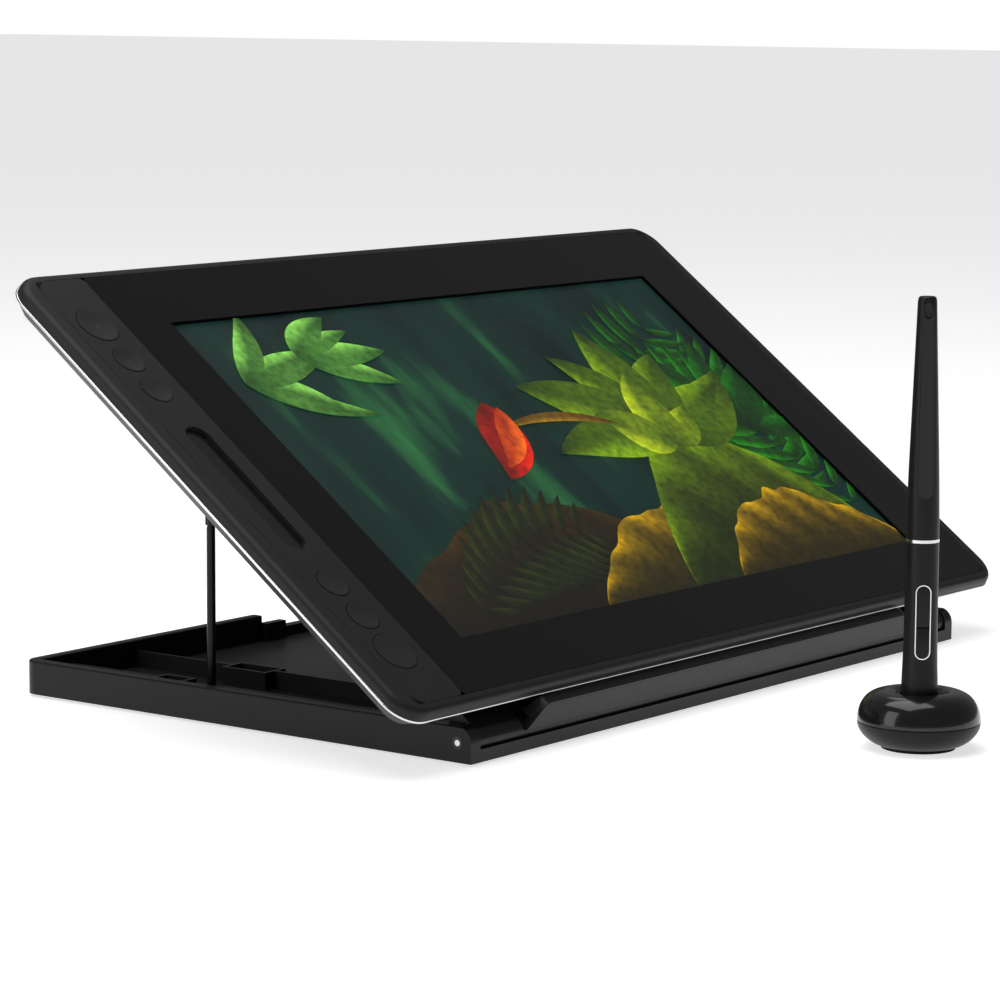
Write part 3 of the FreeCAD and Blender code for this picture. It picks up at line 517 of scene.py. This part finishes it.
lipFacts = {"lowHalf": 0.143, "topHalf": 0.134, "round": 0.0016, "front": -0.118}
lipSection = {"low": (0.0002, 0.0090), "top": (-0.0034, 0.0186),  # each is (distance behind front, height)
              "topBack": (-0.0006, 0.0192), "lowBack": (0.0040, 0.0112)}


def lipFace():
    # a long wedge from the hinge up towards the tablet's lower edge
    deselectAll()
    bpy.ops.mesh.primitive_cube_add(size=1, location=(0, 0, 0))
    piece = named(bpy.context.object, "frontLip")
    for vertex in piece.data.vertices:
        upper, behind = vertex.co.z > 0, vertex.co.y > 0
        back, height = lipSection[("top" if upper else "low") + ("Back" if behind else "")]
        half = lipFacts["topHalf"] if upper else lipFacts["lowHalf"]
        vertex.co = (math.copysign(half, vertex.co.x), lipFacts["front"] + back, height)
    selectEdges(piece, lambda edge: edge.verts[0].co.z > 0.015 and edge.verts[1].co.z > 0.015)
    bpy.ops.mesh.bevel(offset=lipFacts["round"], segments=5, affect="EDGES")
    bpy.ops.mesh.select_all(action="SELECT")
    bpy.ops.mesh.normals_make_consistent(inside=False)
    bakePlace(piece)
    smooth(piece, 40)
    dressPiece(piece, "plate_black", "plate")


lipFace()
print("lip modelled")


# the pen

penFacts = {"turn": -51.7, "nibUp": 0.0046, "long": 0.172, "ring": 0.0767, "ringHigh": 0.0012,
            "slotLow": 0.0311,
            "slotHigh": 0.0604, "slotHalf": 0.00305, "split": 0.0437, "gap": 0.0001, "capGap": 0.00015,
            "capInset": 0.0007, "trimThick": 0.0004, "steps": 64, "inlayLow": 0.0942, "inlayHigh": 0.1695,
            "inlayTaper": 0.32, "inlayAt": -0.0057}
penPlace = (Matrix.Translation((holderAt.x, holderAt.y, penFacts["nibUp"]))
            @ Matrix.Rotation(math.radians(penFacts["turn"]), 4, "Z"))


def cutAway(piece, tool):
    # takes a shape out of a piece and discards the tool
    modifier = piece.modifiers.new("cut", "BOOLEAN")
    modifier.operation = "DIFFERENCE"
    modifier.object = tool
    modifier.solver = "EXACT"
    applyModifiers(piece)
    bpy.data.objects.remove(tool)


def slotShape(name, half, front, back, low, high):
    # a round-ended bar standing up the pen's face
    deselectAll()
    bpy.ops.mesh.primitive_cube_add(size=1, location=(0, (front + back) / 2, (low + high) / 2))
    piece = bpy.context.object
    piece.scale = (2 * half, back - front, high - low)
    bpy.ops.object.transform_apply(location=True, rotation=True, scale=True)
    selectEdges(piece, lambda edge: abs(edge.verts[0].co.y - edge.verts[1].co.y) > 0.0001)
    bpy.ops.mesh.bevel(offset=half * 0.98, segments=10, affect="EDGES")
    bpy.ops.object.mode_set(mode="OBJECT")
    return named(piece, name)


def penBody():
    ring, top = penFacts["ring"], penFacts["ring"] + penFacts["ringHigh"]
    long = penFacts["long"]
    gripLine = [(0.0012, 0.002), (0.002, 0.002), (0.0046, 0.008), (0.0062, 0.0125), (0.0069, 0.0155),
                (0.00715, 0.0185), (0.0071, 0.022), (0.0069, 0.027), (0.00668, 0.034), (0.00655, 0.045),
                (0.0065, ring - 0.0002), (0.0063, ring), (0.0032, ring), (0.0032, 0.009),
                (0.0012, 0.007), (0.0012, 0.002)]
    grip = turnedPiece("penGrip", gripLine, penFacts["steps"])
    gap = penFacts["gap"]
    cutAway(grip, slotShape("slotTool", penFacts["slotHalf"] + gap, -0.009, -0.0043,
                            penFacts["slotLow"] - gap, penFacts["slotHigh"] + gap))
    rearLine = [(0.002, top), (0.00645, top), (0.00642, 0.085), (0.0062, 0.095), (0.00595, 0.1045),
                (0.0055, 0.118), (0.00485, 0.137), (0.0043, 0.153), (0.00372, 0.1702),
                (0.0034, long - 0.0004), (0.0028, long), (0.0001, long), (0.0001, 0.166), (0.002, 0.164),
                (0.002, top)]
    barrel = turnedPiece("penBarrel", rearLine, penFacts["steps"])
    inlayLow, inlayHigh = penFacts["inlayLow"], penFacts["inlayHigh"]
    inlay = slotShape("penInlay", 0.0031, -0.0008, 0.0008, inlayLow, inlayHigh)
    slant = 0.0024 / 0.077  # how the barrel narrows towards its top
    for vertex in inlay.data.vertices:
        share = (vertex.co.z - inlayLow) / (inlayHigh - inlayLow)
        vertex.co.x *= 1 - penFacts["inlayTaper"] * share
        vertex.co.y += penFacts["inlayAt"] + slant * (vertex.co.z - inlayLow)
    tool = inlay.copy()
    tool.data = inlay.data.copy()
    bpy.context.scene.collection.objects.link(tool)
    for vertex in tool.data.vertices:
        vertex.co.x *= 1.03
        if vertex.co.y < penFacts["inlayAt"] - penFacts["gap"] + slant * (vertex.co.z - inlayLow):
            vertex.co.y -= 0.003
    cutAway(barrel, tool)
    facet = slotShape("facetTool", 0.0019, -0.006, -0.0026, 0.1635, 0.1712)
    cutAway(barrel, facet)
    notch = slotShape("notchTool", 0.0019, -0.006, -0.0030, 0.1635, 0.1712)
    cutAway(inlay, notch)
    for piece, replaced in ((grip, "pen_grip"), (barrel, "pen_rear_barrel"), (inlay, "pen_clip_inlay")):
        bakePlace(piece, penPlace)
        smooth(piece, 30)
        dressPiece(piece, "pen_black", "pen", replaced)
    inlay.data.materials.clear()
    inlay.data.materials.append(inlayFinish)


def penSwitches():
    low, high, half = penFacts["slotLow"], penFacts["slotHigh"], penFacts["slotHalf"]
    trim = slotShape("switchTrim", half, -0.0064, -0.0053, low, high)
    wall, inset = penFacts["trimThick"], penFacts["capInset"]
    cutAway(trim, slotShape("trimTool", half - wall, -0.009, -0.004, low + wall, high - wall))
    bakePlace(trim, penPlace)
    smooth(trim, 40)
    dressPiece(trim, "silver", "pen", "pen_switch_trim")
    for name, node, upper in (("upperButton", "pen_button_upper", True),
                              ("lowerButton", "pen_button_lower", False)):
        cap = slotShape(name, half - inset, -0.0069, -0.0048, low + inset, high - inset)
        cutAt = penFacts["split"] + (penFacts["capGap"] if upper else -penFacts["capGap"])
        deselectAll()
        editing(cap)
        bpy.ops.mesh.select_all(action="SELECT")
        bpy.ops.mesh.bisect(plane_co=(0, 0, cutAt), plane_no=(0, 0, 1), use_fill=True,
                            clear_inner=upper, clear_outer=not upper)
        bpy.ops.object.mode_set(mode="OBJECT")
        bevel = cap.modifiers.new("soft", "BEVEL")
        bevel.width = 0.00035
        bevel.segments = 3
        bevel.angle_limit = math.radians(50)
        applyModifiers(cap)
        bakePlace(cap, penPlace)
        smooth(cap, 45)
        dressPiece(cap, "pen_black", node, node)


penBody()
penSwitches()
print("pen modelled")


# the picture on the screen

leafFacts = {"layer": 0.000006, "lowest": -0.00178, "highest": -0.0001}


def leafOutline(x, y, long, wide, turn, curl, steps=12):
    # a pointed leaf with a bent midrib: rows of left, middle, right
    rows = []
    heading = turn
    spot = Vector((x, y))
    for i in range(steps + 1):
        share = i / steps
        half = wide * math.sin(math.pi * share ** 0.8) ** 0.9 * 0.5
        side = Vector((-math.sin(heading), math.cos(heading)))
        rows.append((spot + side * half, spot.copy(), spot - side * half))
        spot = spot + Vector((math.cos(heading), math.sin(heading))) * (long / steps)
        heading += curl / steps
    return rows


def clipped(point):
    return Vector((min(max(point.x, picture["left"]), picture["right"]),
                   min(max(point.y, picture["low"]), picture["high"])))


class Painter:
    # gathers flat coloured faces and lays them over one another on the screen
    def __init__(self):
        self.mesh = bmesh.new()
        self.colours = self.mesh.loops.layers.color.new("paint")
        self.height = leafFacts["lowest"]

    def strip(self, rows, shade):
        for i in range(len(rows) - 1):
            for j in range(len(rows[0]) - 1):
                corners = [rows[i][j], rows[i][j + 1], rows[i + 1][j + 1], rows[i + 1][j]]
                flat = [clipped(c) for c in corners]
                if len({(round(c.x, 6), round(c.y, 6)) for c in flat}) < 3:
                    continue
                face = self.mesh.faces.new([self.mesh.verts.new((c.x, c.y, self.height)) for c in flat])
                if face.calc_area() < 1e-10:
                    self.mesh.faces.remove(face)
                    continue
                spots = ((i, j), (i, j + 1), (i + 1, j + 1), (i + 1, j))
                for loop, (u, v) in zip(face.loops, spots):
                    loop[self.colours] = (*shade(u / (len(rows) - 1), v / (len(rows[0]) - 1)), 1)
        self.height += leafFacts["layer"]

    def finish(self, name):
        for vertex in self.mesh.verts:
            vertex.co.z = min(vertex.co.z, leafFacts["highest"])
        data = bpy.data.meshes.new(name)
        self.mesh.normal_update()
        for face in self.mesh.faces:
            if face.normal.z < 0:
                face.normal_flip()
        self.mesh.to_mesh(data)
        self.mesh.free()
        piece = bpy.data.objects.new(name, data)
        bpy.context.scene.collection.objects.link(piece)
        bakePlace(piece, slopeMatrix)
        return piece


def mixed(a, b, share):
    return tuple(p + (q - p) * share for p, q in zip(a, b))


def leaf(painter, x, y, long, wide, turn, curl, dark, bright):
    rows = leafOutline(x, y, long, wide, math.radians(turn), math.radians(curl))

    def shade(along, over):
        lit = bright if over < 0.5 else mixed(bright, dark, 0.55)
        return mixed(dark, lit, 0.35 + 0.65 * math.sin(math.pi * along))
    painter.strip(rows, shade)


def mound(painter, x, y, wide, high, lumps, dark, bright, seed):
    # a mossy bank: a lumpy upper edge over the picture's lower side
    dice = random.Random(seed)
    phase = [dice.uniform(0, 6) for _ in range(4)]
    rows = []
    for i in range(121):
        share = i / 120
        top = high * math.sin(math.pi * share) ** 0.8
        for k, start in enumerate(phase):
            wave = math.sin(start + share * lumps * (k + 1) * 6.28)
            top += high * 0.05 / (k + 1) * wave * math.sin(math.pi * share)
        left = x + wide * share
        rows.append([Vector((left, y + top * level)) for level in (0, 0.2, 0.4, 0.55, 0.7, 0.82, 0.92, 1)])

    def shade(along, over):
        lump = 0.5 + 0.5 * math.sin(along * lumps * 14 + over * 6)
        return mixed(dark, bright, min(1, 0.12 + 0.88 * over ** 1.5 * (0.5 + 0.5 * lump)))
    painter.strip(rows, shade)


def tuft(painter, x, y, count, reach, wide, start, sweep, dark, bright, seed):
    # leaves fanned out from one point
    dice = random.Random(seed)
    for i in range(count):
        turn = start + sweep * (i + 0.5) / count + dice.uniform(-6, 6)
        leaf(painter, x, y, reach * dice.uniform(0.75, 1.1), wide * dice.uniform(0.8, 1.2), turn,
             dice.uniform(-45, 45), dark, bright)


def frond(painter, x, y, long, turn, curl, pairs, dark, bright):
    # a feathered leaf: narrow blades in pairs along a bent stalk
    heading = math.radians(turn)
    spot = Vector((x, y))
    for i in range(pairs):
        share = i / pairs
        blade = long * 0.34 * math.sin(math.pi * (0.12 + 0.8 * share)) + 0.004
        for side in (58, -58):
            leaf(painter, spot.x, spot.y, blade, blade * 0.2, math.degrees(heading) + side, -side * 0.35,
                 dark, bright)
        spot = spot + Vector((math.cos(heading), math.sin(heading))) * (long / pairs)
        heading += math.radians(curl) / pairs


def paintPicture():
    painter = Painter()
    left, low = picture["left"], picture["low"]
    shadow, fern = (0.004, 0.06, 0.01), (0.1, 0.5, 0.05)
    pale, lime, gold = (0.55, 0.85, 0.35), (0.45, 0.6, 0.02), (0.8, 0.62, 0.01)
    frond(painter, left + 0.285, low + 0.02, 0.13, 62, 40, 12, shadow, fern)
    frond(painter, left + 0.25, low + 0.06, 0.12, 88, -60, 11, shadow, (0.08, 0.42, 0.05))
    frond(painter, left + 0.325, low + 0.03, 0.12, 100, 40, 11, shadow, fern)
    tuft(painter, left + 0.30, low + 0.085, 6, 0.07, 0.016, -20, 170, shadow, (0.06, 0.4, 0.06), 3)
    mound(painter, left - 0.03, low, 0.25, 0.062, 2, (0.03, 0.024, 0.001), (0.22, 0.15, 0.004), 3)
    frond(painter, left + 0.03, low + 0.012, 0.11, 35, -40, 12, (0.01, 0.03, 0.002), (0.16, 0.2, 0.01))
    tuft(painter, left + 0.012, low + 0.150, 5, 0.062, 0.015, -38, 90, (0.02, 0.14, 0.01), pale, 8)
    tuft(painter, left + 0.055, low + 0.162, 4, 0.055, 0.014, -30, 80, (0.02, 0.16, 0.015), pale, 21)
    mound(painter, left + 0.10, low, 0.20, 0.050, 3, (0.02, 0.03, 0.001), gold, 11)
    mound(painter, left + 0.165, low, 0.165, 0.088, 2, (0.03, 0.05, 0.001), lime, 5)
    mound(painter, left + 0.20, low, 0.14, 0.045, 3, (0.03, 0.03, 0.001), gold, 29)
    tuft(painter, left + 0.245, low + 0.083, 7, 0.085, 0.03, 5, 165, (0.05, 0.11, 0.002),
         (0.5, 0.66, 0.04), 13)
    tuft(painter, left + 0.24, low + 0.08, 5, 0.05, 0.02, 20, 150, (0.1, 0.2, 0.005), (0.72, 0.8, 0.1), 31)
    # a red bud on a bent stalk
    leaf(painter, left + 0.215, low + 0.098, 0.085, 0.006, 158, 40, (0.2, 0.12, 0.01), (0.6, 0.45, 0.03))
    leaf(painter, left + 0.140, low + 0.122, 0.055, 0.026, 262, -50, (0.25, 0.02, 0.003), (0.9, 0.12, 0.015))
    leaf(painter, left + 0.146, low + 0.118, 0.046, 0.014, 255, -50, (0.5, 0.08, 0.01), (0.95, 0.42, 0.06))
    piece = painter.finish("leafPicture")
    dressPiece(piece, "paint", "tablet")


paintPicture()
print("picture painted")


# camera, lights and floor

view = {"place": (-1.2888, -0.9706, 0.2934), "yaw": 52.894, "pitch": 7.766, "roll": -0.333, "lens": 135.35}
studio = {"floorWide": 30, "floorDrop": 0.0002, "glow": 0.66, "skyLight": 0.16, "skySeen": 1}
lamps = {
    "overhead": ((-0.2, 0.1, 1.7), (0, 0, 0), (1.6, 1.4), 17),
    "leftCard": ((-1.5, 0.5, 0.6), (0, 0, 0.05), (0.7, 1.3), 6),
    "glassCard": ((1.15, 0.75, 1.75), (-0.2, 0.08, 0.17), (0.7, 0.7), 1.6),
}


def addCamera():
    data = bpy.data.cameras.new("camera")
    data.lens = view["lens"]
    data.sensor_width = 36
    data.clip_end = 50
    camera = bpy.data.objects.new("camera", data)
    bpy.context.scene.collection.objects.link(camera)
    turn = (Matrix.Rotation(math.radians(-view["yaw"]), 4, "Z")
            @ Matrix.Rotation(math.radians(90 - view["pitch"]), 4, "X")
            @ Matrix.Rotation(math.radians(-view["roll"]), 4, "Z"))
    camera.matrix_world = Matrix.Translation(view["place"]) @ turn
    bpy.context.scene.camera = camera


def addLamp(name, place, target, size, power):
    data = bpy.data.lights.new(name, "AREA")
    data.shape = "RECTANGLE"
    data.size, data.size_y = size
    data.energy = power
    lamp = bpy.data.objects.new(name, data)
    bpy.context.scene.collection.objects.link(lamp)
    aim = (Vector(target) - Vector(place)).to_track_quat("-Z", "Y")
    lamp.matrix_world = Matrix.Translation(place) @ aim.to_matrix().to_4x4()


def addFloor():
    bpy.ops.mesh.primitive_plane_add(size=studio["floorWide"], location=(0, 0, -studio["floorDrop"]))
    floor = named(bpy.context.object, "studioFloor")
    bakePlace(floor)
    material, tree, shader = newMaterial("studioWhite")
    shader.inputs["Base Color"].default_value = (0.8, 0.8, 0.8, 1)
    shader.inputs["Roughness"].default_value = 0.9
    shader.inputs["Emission Color"].default_value = (1, 1, 1, 1)
    rays = tree.nodes.new("ShaderNodeLightPath")
    seen = tree.nodes.new("ShaderNodeMath")
    seen.operation = "MAXIMUM"
    glow = tree.nodes.new("ShaderNodeMath")
    glow.operation = "MULTIPLY"
    glow.inputs[1].default_value = studio["glow"]
    tree.links.new(rays.outputs["Is Camera Ray"], seen.inputs[0])
    tree.links.new(rays.outputs["Is Glossy Ray"], seen.inputs[1])
    tree.links.new(seen.outputs[0], glow.inputs[0])
    tree.links.new(glow.outputs[0], shader.inputs["Emission Strength"])
    floor.data.materials.append(material)


def addWorld():
    world = bpy.data.worlds.new("studio")
    bpy.context.scene.world = world
    world.use_nodes = True
    tree = world.node_tree
    background = tree.nodes["Background"]
    background.inputs["Color"].default_value = (1, 1, 1, 1)
    rays = tree.nodes.new("ShaderNodeLightPath")
    strength = tree.nodes.new("ShaderNodeMapRange")
    strength.inputs["To Min"].default_value = studio["skyLight"]
    strength.inputs["To Max"].default_value = studio["skySeen"]
    tree.links.new(rays.outputs["Is Camera Ray"], strength.inputs["Value"])
    tree.links.new(strength.outputs["Result"], background.inputs["Strength"])


deselectAll()
addCamera()
for lampName, lampSetting in lamps.items():
    addLamp(lampName, *lampSetting)
addFloor()
addWorld()
bpy.context.scene.view_settings.view_transform = "Standard"
print("camera, lights and floor set")
